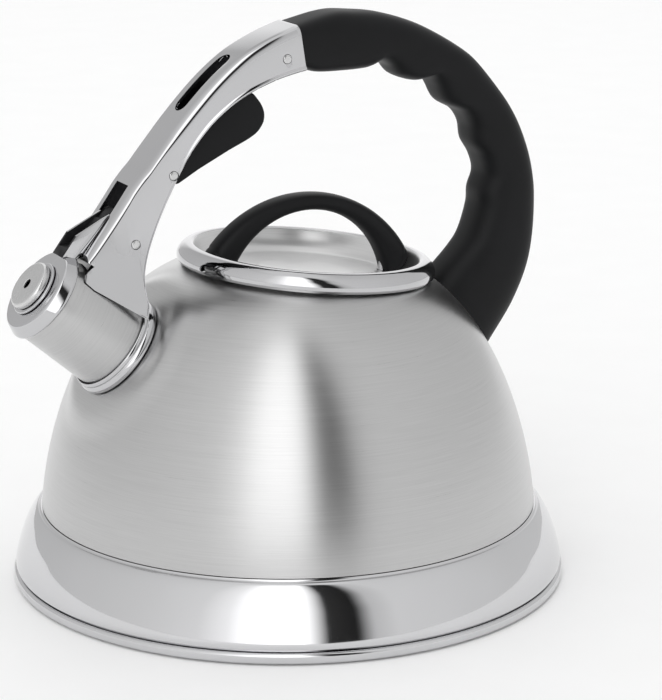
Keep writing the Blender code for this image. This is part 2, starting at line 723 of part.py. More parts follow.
def make_cover_spring():
    """A torsion spring on the hinge pin: three turns, one leg along the arm and one short leg."""
    coil = 1.75 * MM
    turns = 3
    steps = 12
    pitch = 0.55 * MM
    first = math.radians(150)
    points = []
    for step in range(turns * steps + 1):
        turn = first + step * math.tau / steps
        y = -3.45 * MM - pitch * step / steps
        points.append(Vector((coil * math.cos(turn), y, coil * math.sin(turn))))
    start = points[0] + Vector((-4.0, 0.0, -1.1)) * MM
    end = points[-1] + Vector((-1.0, 0.0, -1.7)) * MM
    points = [start] + points + [end]
    curve = bpy.data.curves.new("cover_spring", "CURVE")
    curve.dimensions = "3D"
    curve.bevel_depth = 0.25 * MM
    curve.bevel_resolution = 1
    curve.use_fill_caps = True
    spline = curve.splines.new("POLY")
    spline.points.add(len(points) - 1)
    for control, point in zip(spline.points, points):
        control.co = (*point, 1.0)
    curve.materials.append(polished_steel("cover_spring"))
    item = bpy.data.objects.new("cover_spring", curve)
    item.location = COVER_PIVOT
    bpy.context.scene.collection.objects.link(item)


def build_kettle():
    remove_scene_objects()
    make_kettle_dome()
    make_skirt_pan()
    make_base_cap()
    make_heat_disc()
    make_spout_barrel()
    make_spout_collar()
    make_lid_shell()
    make_lid_plug()
    make_lid_handle()
    make_lid_fasteners()
    make_front_bracket()
    make_mounting_tang()
    make_rivet("grip_rivet", GRIP_PIN)
    make_rivet("trigger_rivet", TRIGGER_PIVOT)
    make_rivet("tang_rivet", TANG_RIVET)
    make_grip()
    make_rear_tang()
    make_rear_screw()
    make_trigger()
    make_push_rod()
    make_small_pin("cover_hinge_pin", COVER_PIVOT, HINGE_PIN, 7.2 * MM, COVER_PIVOT)
    make_small_pin("rod_pin_trigger", ROD_TRIGGER_END, ROD_PIN, 4 * MM, TRIGGER_PIVOT)
    make_small_pin("rod_pin_cover", ROD_COVER_END, ROD_PIN, 2.7 * MM, COVER_PIVOT)
    make_spout_cover()
    make_cover_gasket()
    make_whistle()
    make_cover_spring()


build_kettle()
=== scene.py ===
"""Studio scene of the stovetop whistling kettle: smooth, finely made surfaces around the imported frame, with
brushed and polished steel, moulded black plastic and silicone. Metres, +Z up, spout towards -X."""

import math

import bmesh
import bpy
from mathutils import Matrix, Vector


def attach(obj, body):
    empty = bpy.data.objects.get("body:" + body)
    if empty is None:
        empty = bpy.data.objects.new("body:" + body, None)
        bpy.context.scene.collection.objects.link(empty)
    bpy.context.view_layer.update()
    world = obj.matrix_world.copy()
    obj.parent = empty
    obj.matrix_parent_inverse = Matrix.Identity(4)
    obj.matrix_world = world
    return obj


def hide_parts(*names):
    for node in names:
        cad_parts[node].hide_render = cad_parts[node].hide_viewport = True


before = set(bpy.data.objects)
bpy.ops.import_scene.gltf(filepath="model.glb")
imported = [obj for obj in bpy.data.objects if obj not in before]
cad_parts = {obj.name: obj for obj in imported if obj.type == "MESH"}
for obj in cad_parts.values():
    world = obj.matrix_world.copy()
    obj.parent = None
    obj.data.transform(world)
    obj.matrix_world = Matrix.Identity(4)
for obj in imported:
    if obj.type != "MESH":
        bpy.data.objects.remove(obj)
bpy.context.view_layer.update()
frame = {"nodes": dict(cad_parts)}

MM = 0.001
ROUND = 168
SHEET = 0.8 * MM
CLEAR = 0.25 * MM

SEAM_RADIUS = 99.3 * MM
SEAM_HEIGHT = 30.0 * MM
DOME_START = 24.9 * MM
DOME_RISE = 106.6 * MM
DOME_TOP = 129.6 * MM
DOME_ROWS = 60
DOME_TURN = 240

LID_FRAME = Matrix.Translation(Vector((7.9, 0.0, 122.2)) * MM) @ Matrix.Rotation(math.radians(5.3), 4, "Y")
SPOUT_FRAME = Matrix.Translation(Vector((-52.5, 0.0, 85.0)) * MM) @ Matrix.Rotation(
    math.radians(38.5) - math.pi / 2, 4, "Y"
)
COLLAR_SEAT = 24.8 * MM
SEAT_REACH = 38.5 * MM
SEAT_EASE = 17.0 * MM

BRACKET_HALF = 11.0 * MM
BRACKET_WALL = 1.2 * MM
BRACKET_CORNER = 3.6 * MM
FLARE_TOP = 150.0 * MM
FLARE_DEPTH = 36.0 * MM
FLARE_WIDTH = 6.0 * MM
LIP = 0.6 * MM
RIVET_HOLE = 1.9 * MM
RIVET_HEAD = 1.7 * MM
THROUGH = 30.0 * MM

TRIGGER_PIVOT = Vector((-53.1, 0.0, 168.4)) * MM
COVER_PIVOT = Vector((-73.3, 0.0, 153.6)) * MM
ROD_COVER_END = Vector((-71.2, 0.0, 152.0)) * MM
ROD_TRIGGER_END = Vector((-58.8, 0.0, 172.5)) * MM
GRIP_PIN = Vector((-4.9, 0.0, 209.5)) * MM
TANG_RIVET = Vector((-69.4, 0.0, 143.4)) * MM
SCREW_POST = 34.5 * MM

VIEW_TURN = math.radians(27.0)
VIEW_RISE = math.radians(15.27)
VIEW_DISTANCE = 1.1
VIEW_TARGET = (17.3 * MM, 90.7 * MM)
LENS = 141.9

# Brightness of the studio round the horizon: (degrees to the right of the camera, brightness).
STUDIO_STRENGTH = 2.0
STUDIO_OVERHEAD = 0.94
STUDIO_BANDS = (
    (-180, 1.15), (-168, 1.10), (-157, 0.60), (-120, 0.68), (-60, 0.84), (-36, 0.95), (-24, 1.25),
    (-14, 1.85), (7, 2.00), (12, 1.10), (17, 0.04), (29, 0.02), (36, 0.70), (46, 0.86), (120, 0.74),
    (157, 0.70), (168, 1.10), (180, 1.15),
)


# ---------------------------------------------------------------- shapes


def millimetres(*points):
    return [tuple(value * MM for value in point) for point in points]


def ease(value):
    value = min(max(value, 0.0), 1.0)
    return value * value * (3 - 2 * value)


def soften(outline, radius, steps=4):
    """Round the corners of a closed 2-D outline. Points on the axis of a lathe outline stay sharp."""
    result = []
    count = len(outline)
    for i, corner in enumerate(outline):
        corner = Vector(corner)
        before = Vector(outline[i - 1]) - corner
        after = Vector(outline[(i + 1) % count]) - corner
        if corner.x == 0.0 or before.angle(after) > math.radians(176):
            result.append(corner)
            continue
        cut = min(radius, before.length * 0.45, after.length * 0.45)
        start = corner + before.normalized() * cut
        end = corner + after.normalized() * cut
        for step in range(steps + 1):
            t = step / steps
            result.append(start * (1 - t) ** 2 + corner * 2 * t * (1 - t) + end * t**2)
    return result


def smooth_curve(points, steps):
    """A Catmull-Rom curve through 2-D points, with a fixed number of steps for each span."""
    ends = [2 * Vector(points[0]) - Vector(points[1])]
    ends += [Vector(point) for point in points]
    ends.append(2 * Vector(points[-1]) - Vector(points[-2]))
    curve = []
    for a, b, c, d in zip(ends, ends[1:], ends[2:], ends[3:]):
        for step in range(steps):
            t = step / steps
            curve.append(
                0.5
                * (2 * b + (c - a) * t + (2 * a - 5 * b + 4 * c - d) * t**2 + (3 * b - a - 3 * c + d) * t**3)
            )
    curve.append(ends[-2])
    return curve


def resample(curve, count):
    """Points at equal arc lengths along a polyline."""
    lengths = [0.0]
    for a, b in zip(curve, curve[1:]):
        lengths.append(lengths[-1] + (b - a).length)
    result = []
    span = 0
    for step in range(count):
        target = lengths[-1] * step / (count - 1)
        while span < len(curve) - 2 and lengths[span + 1] < target:
            span += 1
        share = (target - lengths[span]) / (lengths[span + 1] - lengths[span])
        result.append(curve[span].lerp(curve[span + 1], share))
    return result


def loft(sections):
    """Skin a list of rings of equal length and cap both ends."""
    maker = bmesh.new()
    rings = [[maker.verts.new(point) for point in section] for section in sections]
    count = len(rings[0])
    for first, second in zip(rings, rings[1:]):
        for i in range(count):
            j = (i + 1) % count
            maker.faces.new((first[i], first[j], second[j], second[i]))
    maker.faces.new(rings[0])
    maker.faces.new(rings[-1])
    return maker


def lathe(outline, segments=ROUND):
    """Turn a closed outline of (radius, height) about Z. Radius 0 makes a pole."""
    maker = bmesh.new()
    columns = []
    poles = {}
    for step in range(segments):
        angle = step * math.tau / segments
        column = []
        for index, (radius, height) in enumerate(outline):
            if radius == 0.0 and index in poles:
                column.append(poles[index])
                continue
            vertex = maker.verts.new((radius * math.cos(angle), radius * math.sin(angle), height))
            if radius == 0.0:
                poles[index] = vertex
            column.append(vertex)
        columns.append(column)
    count = len(outline)
    for step in range(segments):
        here = columns[step]
        there = columns[(step + 1) % segments]
        for i in range(count):
            j = (i + 1) % count
            unique = list(dict.fromkeys([here[i], here[j], there[j], there[i]]))
            if len(unique) > 2:
                maker.faces.new(unique)
    return maker


def slab(outline, half_width):
    """Extrude an outline of (x, z) symmetrically along Y."""
    return loft([[(x, side * half_width, z) for x, z in outline] for side in (-1, 1)])


def box(low, high):
    corners = [(low[0], low[1]), (high[0], low[1]), (high[0], high[1]), (low[0], high[1])]
    return loft([[(x, y, z) for x, y in corners] for z in (low[2], high[2])])


def bar_section(outer, inner, half, power, count):
    """A rounded ring between two points of the XZ plane. A power under 1 squares its corners."""
    middle = (outer + inner) / 2
    radial = (outer - inner) / 2
    ring = []
    for step in range(count):
        turn = step * math.tau / count
        across = half * math.copysign(abs(math.sin(turn)) ** power, math.sin(turn))
        up = math.copysign(abs(math.cos(turn)) ** power, math.cos(turn))
        point = middle + radial * up
        ring.append((point.x, across, point.y))
    return ring


def make_object(name, maker, place=Matrix.Identity(4)):
    """Link a mesh as an object that stands at a place."""
    mesh = bpy.data.meshes.new(name)
    bmesh.ops.recalc_face_normals(maker, faces=maker.faces)
    maker.to_mesh(mesh)
    maker.free()
    item = bpy.data.objects.new(name, mesh)
    item.matrix_world = place
    bpy.context.scene.collection.objects.link(item)
    return item


def settle(item):
    """Apply an object's modifiers to its mesh."""
    graph = bpy.context.evaluated_depsgraph_get()
    mesh = bpy.data.meshes.new_from_object(item.evaluated_get(graph))
    item.modifiers.clear()
    item.data = mesh


def combine(item, maker, operation="DIFFERENCE", place=Matrix.Identity(4)):
    """Cut or add a tool, which is then thrown away."""
    tool = make_object("tool", maker, place)
    bpy.context.view_layer.update()
    modifier = item.modifiers.new("combine", "BOOLEAN")
    modifier.operation = operation
    modifier.solver = "EXACT"
    modifier.object = tool
    settle(item)
    bpy.data.objects.remove(tool, do_unlink=True)


def soften_edges(item, width):
    """Break the sharp edges of a pressed part."""
    modifier = item.modifiers.new("edges", "BEVEL")
    modifier.width = width
    modifier.segments = 2
    modifier.limit_method = "ANGLE"
    modifier.angle_limit = math.radians(50)
    modifier.use_clamp_overlap = True
    settle(item)


def dress(item, body, materials, stands_for=(), sharp=32):
    """Finish a piece: smooth shading, its materials, its body and the nodes it stands for."""
    item.data.materials.clear()
    for material in materials:
        item.data.materials.append(material)
    item.data.shade_smooth()
    item.data.set_sharp_from_angle(angle=math.radians(sharp))
    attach(item, body)
    if stands_for:
        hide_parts(*stands_for)
    return item


def rod_frame(centre):
    """A frame whose Z axis runs along the object's Y axis."""
    return Matrix.Translation(centre) @ Matrix.Rotation(-math.pi / 2, 4, "X")


def rod(radius, half_length, segments=48):
    outline = [(0.0, -half_length), (radius, -half_length), (radius, half_length), (0.0, half_length)]
    return lathe(outline, segments)


# ---------------------------------------------------------------- materials


def new_material(name, colour, roughness, metallic=0.0, specular=0.5):
    material = bpy.data.materials.new(name)
    material.use_nodes = True
    shader = material.node_tree.nodes["Principled BSDF"]
    shader.inputs["Base Color"].default_value = (*colour, 1.0)
    shader.inputs["Roughness"].default_value = roughness
    shader.inputs["Metallic"].default_value = metallic
    shader.inputs["Specular IOR Level"].default_value = specular
    return material, material.node_tree.nodes, material.node_tree.links, shader


def noise_over(nodes, links, scale, stretch=(1.0, 1.0, 1.0), detail=3.0, roughness=0.5):
    """A noise texture in the object's own coordinates, stretched along its axes."""
    place = nodes.new("ShaderNodeTexCoord")
    mapping = nodes.new("ShaderNodeMapping")
    mapping.inputs["Scale"].default_value = stretch
    noise = nodes.new("ShaderNodeTexNoise")
    noise.inputs["Scale"].default_value = scale
    noise.inputs["Detail"].default_value = detail
    noise.inputs["Roughness"].default_value = roughness
    links.new(place.outputs["Object"], mapping.inputs["Vector"])
    links.new(mapping.outputs["Vector"], noise.inputs["Vector"])
    return noise.outputs["Fac"]


def spread(nodes, links, source, low, high):
    """Map a 0-1 value to a range."""
    node = nodes.new("ShaderNodeMapRange")
    node.inputs["From Min"].default_value = 0.25
    node.inputs["From Max"].default_value = 0.75
    node.inputs["To Min"].default_value = low
    node.inputs["To Max"].default_value = high
    links.new(source, node.inputs["Value"])
    return node.outputs["Result"]


def shade_colour(nodes, links, source, dark, light):
    """Vary a colour between two close tones."""
    ramp = nodes.new("ShaderNodeValToRGB")
    ramp.color_ramp.elements[0].position = 0.3
    ramp.color_ramp.elements[0].color = (*dark, 1.0)
    ramp.color_ramp.elements[1].position = 0.7
    ramp.color_ramp.elements[1].color = (*light, 1.0)
    links.new(source, ramp.inputs["Fac"])
    return ramp.outputs["Color"]


def add_bump(nodes, links, shader, source, strength, distance):
    bump = nodes.new("ShaderNodeBump")
    bump.inputs["Strength"].default_value = strength
    bump.inputs["Distance"].default_value = distance
    links.new(source, bump.inputs["Height"])
    links.new(bump.outputs["Normal"], shader.inputs["Normal"])


def brushed_steel(name, tone=0.56, roughness=0.30, anisotropy=0.72, lines=0.22):
    """Satin steel with fine lines round the object's Z axis."""
    material, nodes, links, shader = new_material(name, (tone, tone, tone), roughness, 1.0)
    shader.inputs["Anisotropic"].default_value = anisotropy
    shader.inputs["Anisotropic Rotation"].default_value = 0.25
    tangent = nodes.new("ShaderNodeTangent")
    tangent.direction_type = "RADIAL"
    tangent.axis = "Z"
    links.new(tangent.outputs["Tangent"], shader.inputs["Tangent"])
    hairlines = noise_over(nodes, links, 60.0, (0.6, 0.6, 45.0), 4.0, 0.7)
    links.new(
        shade_colour(nodes, links, hairlines, (tone * 0.94,) * 3, (tone * 1.05,) * 3),
        shader.inputs["Base Color"],
    )
    links.new(spread(nodes, links, hairlines, roughness * 0.9, roughness * 1.12), shader.inputs["Roughness"])
    add_bump(nodes, links, shader, hairlines, lines, 0.02 * MM)
    return material


def polished_steel(name, tone=0.66, roughness=0.045):
    """Mirror-polished steel with a faint unevenness from pressing and polishing."""
    material, nodes, links, shader = new_material(name, (tone, tone, tone * 1.015), roughness, 1.0)
    polish = noise_over(nodes, links, 420.0, detail=4.0)
    links.new(spread(nodes, links, polish, roughness * 0.8, roughness * 1.5), shader.inputs["Roughness"])
    waves = noise_over(nodes, links, 34.0, detail=1.0)
    dull = (tone * 0.97, tone * 0.97, tone * 0.985)
    bright = (tone, tone, tone * 1.02)
    links.new(shade_colour(nodes, links, waves, dull, bright), shader.inputs["Base Color"])
    add_bump(nodes, links, shader, waves, 0.10, 0.12 * MM)
    return material


def dark_shade_steel(name):
    """Painted shade: a near-black steel for the insides of pressed parts, standing in for the shade inside
    them, with a fine grain.
    """
    material, nodes, links, shader = new_material(name, (0.032, 0.032, 0.034), 0.5, 1.0)
    grain = noise_over(nodes, links, 260.0, detail=5.0)
    links.new(
        shade_colour(nodes, links, grain, (0.022, 0.022, 0.024), (0.045, 0.045, 0.048)),
        shader.inputs["Base Color"],
    )
    add_bump(nodes, links, shader, grain, 0.2, 0.03 * MM)
    return material


def black_plastic(name):
    """Matte moulded plastic with a fine spark-eroded grain and a slight sheen where hands rub it."""
    material, nodes, links, shader = new_material(name, (0.006, 0.0062, 0.0068), 0.46, 0.0, 0.19)
    grain = noise_over(nodes, links, 1500.0, detail=3.0)
    wear = noise_over(nodes, links, 45.0, detail=4.0)
    links.new(
        shade_colour(nodes, links, wear, (0.005, 0.0052, 0.0058), (0.0072, 0.0075, 0.0085)),
        shader.inputs["Base Color"],
    )
    links.new(spread(nodes, links, wear, 0.42, 0.52), shader.inputs["Roughness"])
    add_bump(nodes, links, shader, grain, 0.25, 0.04 * MM)
    return material


def silicone(name):
    material, nodes, links, shader = new_material(name, (0.06, 0.06, 0.065), 0.65, 0.0, 0.3)
    grain = noise_over(nodes, links, 900.0, detail=3.0)
    links.new(
        shade_colour(nodes, links, grain, (0.05, 0.05, 0.055), (0.075, 0.075, 0.08)),
        shader.inputs["Base Color"],
    )
    add_bump(nodes, links, shader, grain, 0.15, 0.03 * MM)
    return material


def rolled_aluminium(name):
    material, nodes, links, shader = new_material(name, (0.62, 0.63, 0.64), 0.4, 1.0)
    grain = noise_over(nodes, links, 120.0, (1.0, 12.0, 1.0), 4.0)
    links.new(
        shade_colour(nodes, links, grain, (0.56, 0.57, 0.58), (0.68, 0.69, 0.70)), shader.inputs["Base Color"]
    )
    links.new(spread(nodes, links, grain, 0.34, 0.48), shader.inputs["Roughness"])
    add_bump(nodes, links, shader, grain, 0.15, 0.02 * MM)
    return material


# ---------------------------------------------------------------- body


def dome_radius(height):
    """Radius of the dome's wall at a height: straight at the seam, round over the shoulder."""
    share = (height - DOME_START) / DOME_RISE
    return SEAM_RADIUS * (1 - share**1.625) ** (1 / 3.06)


def dome_outline(offset, low=SEAM_HEIGHT):
    points = []
    for row in range(DOME_ROWS):
        height = low + (DOME_TOP - low) * math.sin(row / (DOME_ROWS - 1) * math.pi / 2)
        slope = (dome_radius(height + MM / 2) - dome_radius(height - MM / 2)) / MM
        normal = Vector((1.0, -slope)).normalized()
        points.append((dome_radius(height) + offset * normal.x, height + offset * normal.y))
    return points


def raise_spout_seat(item):
    """Press both faces of the wall out to a flat seat for the spout's collar."""
    axis = SPOUT_FRAME.to_3x3() @ Vector((0.0, 0.0, 1.0))
    start = SPOUT_FRAME.translation
    vertices = item.data.vertices
    ring = 2 * DOME_ROWS
    for index in range(len(vertices)):
        column, row = divmod(index, ring)
        if row >= DOME_ROWS:
            continue
        reach = vertices[index].co - start
        along = reach.dot(axis)
        if along < 0.0:
            continue
        across = (reach - along * axis).length
        shift = axis * (COLLAR_SEAT - along) * ease((SEAT_REACH - across) / SEAT_EASE)
        partner = vertices[column * ring + ring - 1 - row]
        vertices[index].co += shift
        partner.co += shift


def make_dome(steel):
    outer = dome_outline(0.0)
    inner = dome_outline(-SHEET)
    inner[0] = (inner[0][0], SEAM_HEIGHT)
    item = make_object("dome", lathe(outer + inner[::-1], DOME_TURN))
    raise_spout_seat(item)
    mouth = millimetres((0.0, -30.0), (44.0, -30.0), (44.0, 30.0), (0.0, 30.0))
    combine(item, lathe(mouth), place=LID_FRAME)
    bore = millimetres((0.0, 2.0), (17.0, 2.0), (17.0, 60.0), (0.0, 60.0))
    combine(item, lathe(bore), place=SPOUT_FRAME)
    dress(item, "kettle", [steel], ["kettle_dome"])


def make_skirt(steel):
    outer = smooth_curve(
        millimetres(
            (99.3, 29.7), (99.9, 29.0), (101.3, 28.3), (103.5, 25.6), (105.7, 21.6), (107.3, 17.6),
            (108.6, 13.6), (109.6, 9.6), (110.1, 6.4), (109.4, 5.1),
        ),
        5,
    )
    inner = millimetres(
        (0.0, 5.1), (0.0, 5.9), (108.2, 5.9), (109.2, 7.0), (107.7, 13.6), (104.8, 21.4),
        (102.7, 25.0), (98.5, 28.9), (98.5, 29.7),
    )
    item = make_object("skirt", lathe([tuple(point) for point in outer] + inner, DOME_TURN))
    dress(item, "kettle", [steel], ["skirt_pan"])


def make_base(steel):
    outline = millimetres(
        (0.0, 0.0), (108.6, 0.0), (110.6, 0.7), (111.0, 2.3), (110.8, 4.1), (109.7, 4.8),
        (101.2, 4.8), (101.2, 1.0), (0.0, 1.0),
    )
    item = make_object("base", lathe(soften(outline, 0.8 * MM), DOME_TURN))
    dress(item, "kettle", [steel], ["base_cap"])


def make_spout(satin, polished):
    barrel = millimetres(
        (19.0, 25.1), (18.7, 34.0), (18.3, 44.0), (17.8, 54.0), (17.5, 62.8),
        (16.7, 62.8), (17.0, 54.0), (17.5, 44.0), (17.9, 34.0), (18.2, 25.1),
    )
    item = make_object("barrel", lathe(soften(barrel, 0.3 * MM, 3)), SPOUT_FRAME)
    dress(item, "kettle", [satin], ["spout_barrel"])
    collar = millimetres(
        (19.4, 25.1), (20.7, 25.1), (21.0, 26.0), (21.0, 27.2), (20.5, 28.1), (20.1, 28.5),
        (20.2, 29.3), (19.9, 30.2), (19.5, 30.5), (19.2, 30.1), (19.3, 28.5),
    )
    item = make_object("collar", lathe(soften(collar, 0.6 * MM)), SPOUT_FRAME)
    dress(item, "kettle", [polished], ["spout_collar"])


# ---------------------------------------------------------------- lid


def lid_dish_top():
    return millimetres(
        (0.0, 0.6), (19.6, 0.6), (20.3, 0.0), (36.5, 0.0), (38.5, 0.4), (40.5, 1.8),
        (42.5, 4.2), (44.0, 7.0), (44.9, 8.6),
    )


def make_lid(satin, polished):
    """The dished lid with its crowned, polished rim, in one pressing."""
    rim = millimetres(
        (46.0, 9.2), (48.0, 8.9), (50.0, 7.4), (51.2, 5.4), (51.5, 4.0), (51.3, 2.5), (50.5, 1.5),
        (49.9, 2.1), (50.5, 3.4), (48.8, 7.1), (46.2, 8.1), (44.0, 5.4), (42.9, 3.2), (41.0, 0.9),
        (36.5, -0.8), (0.0, -0.8),
    )
    outline = soften(lid_dish_top() + rim, 1.4 * MM, 5)
    item = make_object("lid", lathe(outline), LID_FRAME)
    for side in (-1, 1):
        post = LID_FRAME @ Matrix.Translation((side * SCREW_POST, 0.0, 0.0))
        combine(item, lathe(millimetres((0.0, -4.0), (1.9, -4.0), (1.9, 6.0), (0.0, 6.0)), 32), place=post)
    dress(item, "lid", [satin, polished], ["lid_shell"])
    polish_rim(item)
    plug = millimetres(
        (38.6, -1.9), (38.6, -1.1), (41.0, -1.1), (41.4, -1.6), (41.4, -9.0), (41.0, -9.6),
        (40.6, -9.0), (40.6, -1.9),
    )
    item = make_object("plug", lathe(soften(plug, 0.3 * MM, 3)), LID_FRAME)
    dress(item, "lid", [satin], ["lid_plug"])


def polish_rim(item):
    """Give the polished finish to the lid's crown and to the curl under it."""
    crown = 45.2 * MM
    curl = 43.0 * MM
    curl_top = 3.0 * MM
    for face in item.data.polygons:
        reach = math.hypot(face.center.x, face.center.y)
        if reach > crown or (reach > curl and face.center.z < curl_top):
            face.material_index = 1


def lid_arch_section(angle, share, shrink):
    """One section of the lid handle's bar between its outer and its inner arc."""
    centre = 0.5 * MM
    outer = Vector((centre + 52.3 * MM * math.sin(angle), -20.4 * MM + 52.3 * MM * math.cos(angle)))
    swing = angle * 1.49
    inner = Vector((centre + 35.3 * MM * math.sin(swing), -10.2 * MM + 35.3 * MM * math.cos(swing)))
    inset = (outer - inner).normalized() * shrink
    half = (5.6 + 1.2 * share**2) * MM - shrink
    return bar_section(outer - inset, inner + inset, half, 0.8, 36)


def make_lid_handle(plastic):
    """A flat arched bar with a moulded seam round each foot, cut to the dish it stands on."""
    limit = math.radians(65)
    seam = math.radians(54)
    steps = 120
    sections = []
    for step in range(steps + 1):
        angle = limit * (2 * step / steps - 1)
        depth = 0.3 * MM if abs(abs(angle) - seam) < math.radians(0.6) else 0.0
        sections.append(lid_arch_section(angle, abs(angle) / limit, depth))
    item = make_object("lid_arch", loft(sections), LID_FRAME)
    top = [(radius, height + CLEAR) for radius, height in lid_dish_top()]
    below = millimetres((47.0, 9.6), (53.0, 9.6), (53.0, -30.0), (0.0, -30.0))
    combine(item, lathe(top + below), place=LID_FRAME)
    dress(item, "lid", [plastic], ["lid_handle"])


# ---------------------------------------------------------------- bracket


def bracket_edges():
    """Top and lower edge of the bracket, from its front end over the spout to the grip."""
    top = millimetres(
        (-88.5, 140.5), (-85.5, 144.2), (-82.0, 148.5), (-78.5, 153.0), (-75.0, 157.7), (-72.3, 161.4),
        (-69.8, 164.8), (-66.5, 168.6), (-63.0, 172.2), (-60.0, 175.8), (-57.0, 179.4), (-54.0, 183.0),
        (-51.0, 186.6), (-44.6, 193.6), (-37.6, 200.6), (-30.4, 206.8), (-23.2, 211.9), (-15.5, 215.9),
        (-7.6, 219.2), (0.6, 221.9),
    )
    low = millimetres(
        (-91.4, 130.5), (-85.3, 126.7), (-79.3, 122.8), (-73.2, 118.8), (-67.2, 114.9), (-66.2, 119.5),
        (-66.9, 125.0), (-66.8, 131.5), (-65.0, 138.5), (-61.6, 147.0), (-57.0, 157.0), (-51.4, 167.5),
        (-46.3, 175.9), (-37.9, 185.6), (-29.4, 192.5), (-21.0, 197.4), (-12.5, 200.8), (-6.8, 202.5),
        (-1.6, 203.7), (3.3, 204.6),
    )
    return top, low


def bracket_half_width(height):
    """The channel's sides splay outwards below the flare's top, to straddle the spout."""
    drop = max(FLARE_TOP - height, 0.0) / FLARE_DEPTH
    return BRACKET_HALF + FLARE_WIDTH * drop**1.6


def channel_side(top, low, inset, lip):
    """Half of one channel section, from its lower edge up to the middle of its top wall."""
    depth = (low - top).length
    down = (low - top) / depth
    radius = BRACKET_CORNER - inset
    side = []
    for reach, bulge in ((0.0, 0.55), (0.35, 1.0), (0.9, 1.0), (1.3, 0.6), (1.7, 0.0), (2.3, 0.0)):
        point = top + down * (depth - reach * MM)
        side.append((bracket_half_width(point.y) - inset + lip * bulge, point))
    for share in (0.66, 0.33):
        reach = BRACKET_CORNER + (depth - BRACKET_CORNER - 2.3 * MM) * share
        point = top + down * reach
        side.append((bracket_half_width(point.y) - inset, point))
    steps = 10
    for step in range(steps + 1):
        turn = step * math.pi / 2 / steps
        point = top + down * (BRACKET_CORNER - radius * math.sin(turn))
        side.append((bracket_half_width(point.y) - inset - radius * (1 - math.cos(turn)), point))
    return side


def channel_section(top, low, lip):
    outer = channel_side(top, low, 0.0, lip)
    inner = channel_side(top, low, BRACKET_WALL, 0.0)
    loop = [(-y, point) for y, point in outer]
    loop += [(y, point) for y, point in reversed(outer)]
    loop += [(y, point) for y, point in inner]
    loop += [(-y, point) for y, point in reversed(inner)]
    return [(point.x, y, point.y) for y, point in loop]


def slot_tool():
    """The long slot with round ends in the curved part of the top wall."""
    start = Vector((-46.5, 191.0)) * MM
    end = Vector((-24.4, 211.0)) * MM
    along = (end - start).normalized()
    up = Vector((-along.y, along.x))
    radius = 4.1 * MM
    middle = (start + end) / 2
    half = (end - start).length / 2 - radius
    ring = []
    for step in range(48):
        turn = (step + 0.5) * math.tau / 48
        shift = half if math.cos(turn) > 0 else -half
        ring.append((shift + radius * math.cos(turn), radius * math.sin(turn)))
    sections = []
    for height in (-6 * MM, 8 * MM):
        base = middle + up * height
        sections.append([(base.x + along.x * a, b, base.y + along.y * a) for a, b in ring])
    return loft(sections)


def spout_clearance():
    return lathe(
        millimetres(
            (0.0, 15.0), (21.4, 20.0), (21.4, 30.9), (19.3, 30.9), (19.1, 34.0), (18.7, 44.0), (18.2, 54.0),
            (17.9, 63.1), (0.0, 66.0),
        )
    )


def make_bracket(polished, shade_paint):
    """The pressed channel from the spout to the grip, with a rolled lip along its lower edge."""
    top, low = bracket_edges()
    steps = 6
    tops = smooth_curve(top, steps)
    lows = smooth_curve(low[:5], steps)[:-1] + smooth_curve(low[4:], steps)
    sections = []
    for index, (a, b) in enumerate(zip(tops, lows)):
        lip = LIP * ease((index / steps - 3.4) / 0.8)
        sections.append(channel_section(a, b, lip))
    item = make_object("bracket", loft(sections))
    window = millimetres((-66.4, 162.6), (-72.6, 167.6), (-98.0, 145.0), (-86.0, 134.0), (-76.0, 150.4))
    combine(item, slab(window, 5.4 * MM))
    combine(item, slot_tool())
    notch = millimetres((-92.5, 141.0), (-86.8, 136.9), (-93.5, 131.5))
    combine(item, slab(notch, THROUGH))
    combine(item, spout_clearance(), place=SPOUT_FRAME)
    for centre in (GRIP_PIN, TRIGGER_PIVOT, TANG_RIVET):
        combine(item, rod(RIVET_HOLE, THROUGH), place=rod_frame(centre))
    soften_edges(item, 0.22 * MM)
    # The second material is the near-black steel: painted shade inside the channel.
    dress(item, "kettle", [polished, shade_paint], ["front_bracket"], 28)
    mark_inside(item)


def distance_to_curve(curve, spot):
    """The shortest distance from a point to any straight piece of a curve."""
    shortest = math.inf
    for start, end in zip(curve, curve[1:]):
        along = end - start
        share = min(max((spot - start).dot(along) / along.length_squared, 0.0), 1.0)
        shortest = min(shortest, (start + along * share - spot).length)
    return shortest


def mark_inside(item):
    """Painted shade: give the channel's inner faces the near-black steel, standing in for the shade inside
    the channel.
    """
    side_depth = 0.75 * MM
    top_depth = 0.8 * MM
    tops = smooth_curve(bracket_edges()[0], 6)
    for face in item.data.polygons:
        reach = distance_to_curve(tops, Vector((face.center.x, face.center.z)))
        wall = bracket_half_width(face.center.z) - abs(face.center.y)
        faces_in = face.normal.y * face.center.y < 1e-7
        if wall > side_depth and reach > top_depth and faces_in:
            face.material_index = 1


def make_rivets(satin):
    spots = {"grip_rivet": GRIP_PIN, "trigger_rivet": TRIGGER_PIVOT, "tang_rivet": TANG_RIVET}
    for name, centre in spots.items():
        wall = bracket_half_width(centre.z) + 0.05 * MM
        profile = [
            (0.0, wall + 0.34 * MM), (0.9 * MM, wall + 0.33 * MM), (1.4 * MM, wall + 0.27 * MM),
            (RIVET_HEAD, wall + 0.1 * MM), (RIVET_HEAD, wall - 0.8 * MM), (1.2 * MM, wall - 0.8 * MM),
        ]
        outline = profile + [(radius, -height) for radius, height in reversed(profile)]
        item = make_object(name + "_head", lathe(outline, 48), rod_frame(centre))
        dress(item, "kettle", [satin], [name])


# ---------------------------------------------------------------- grip


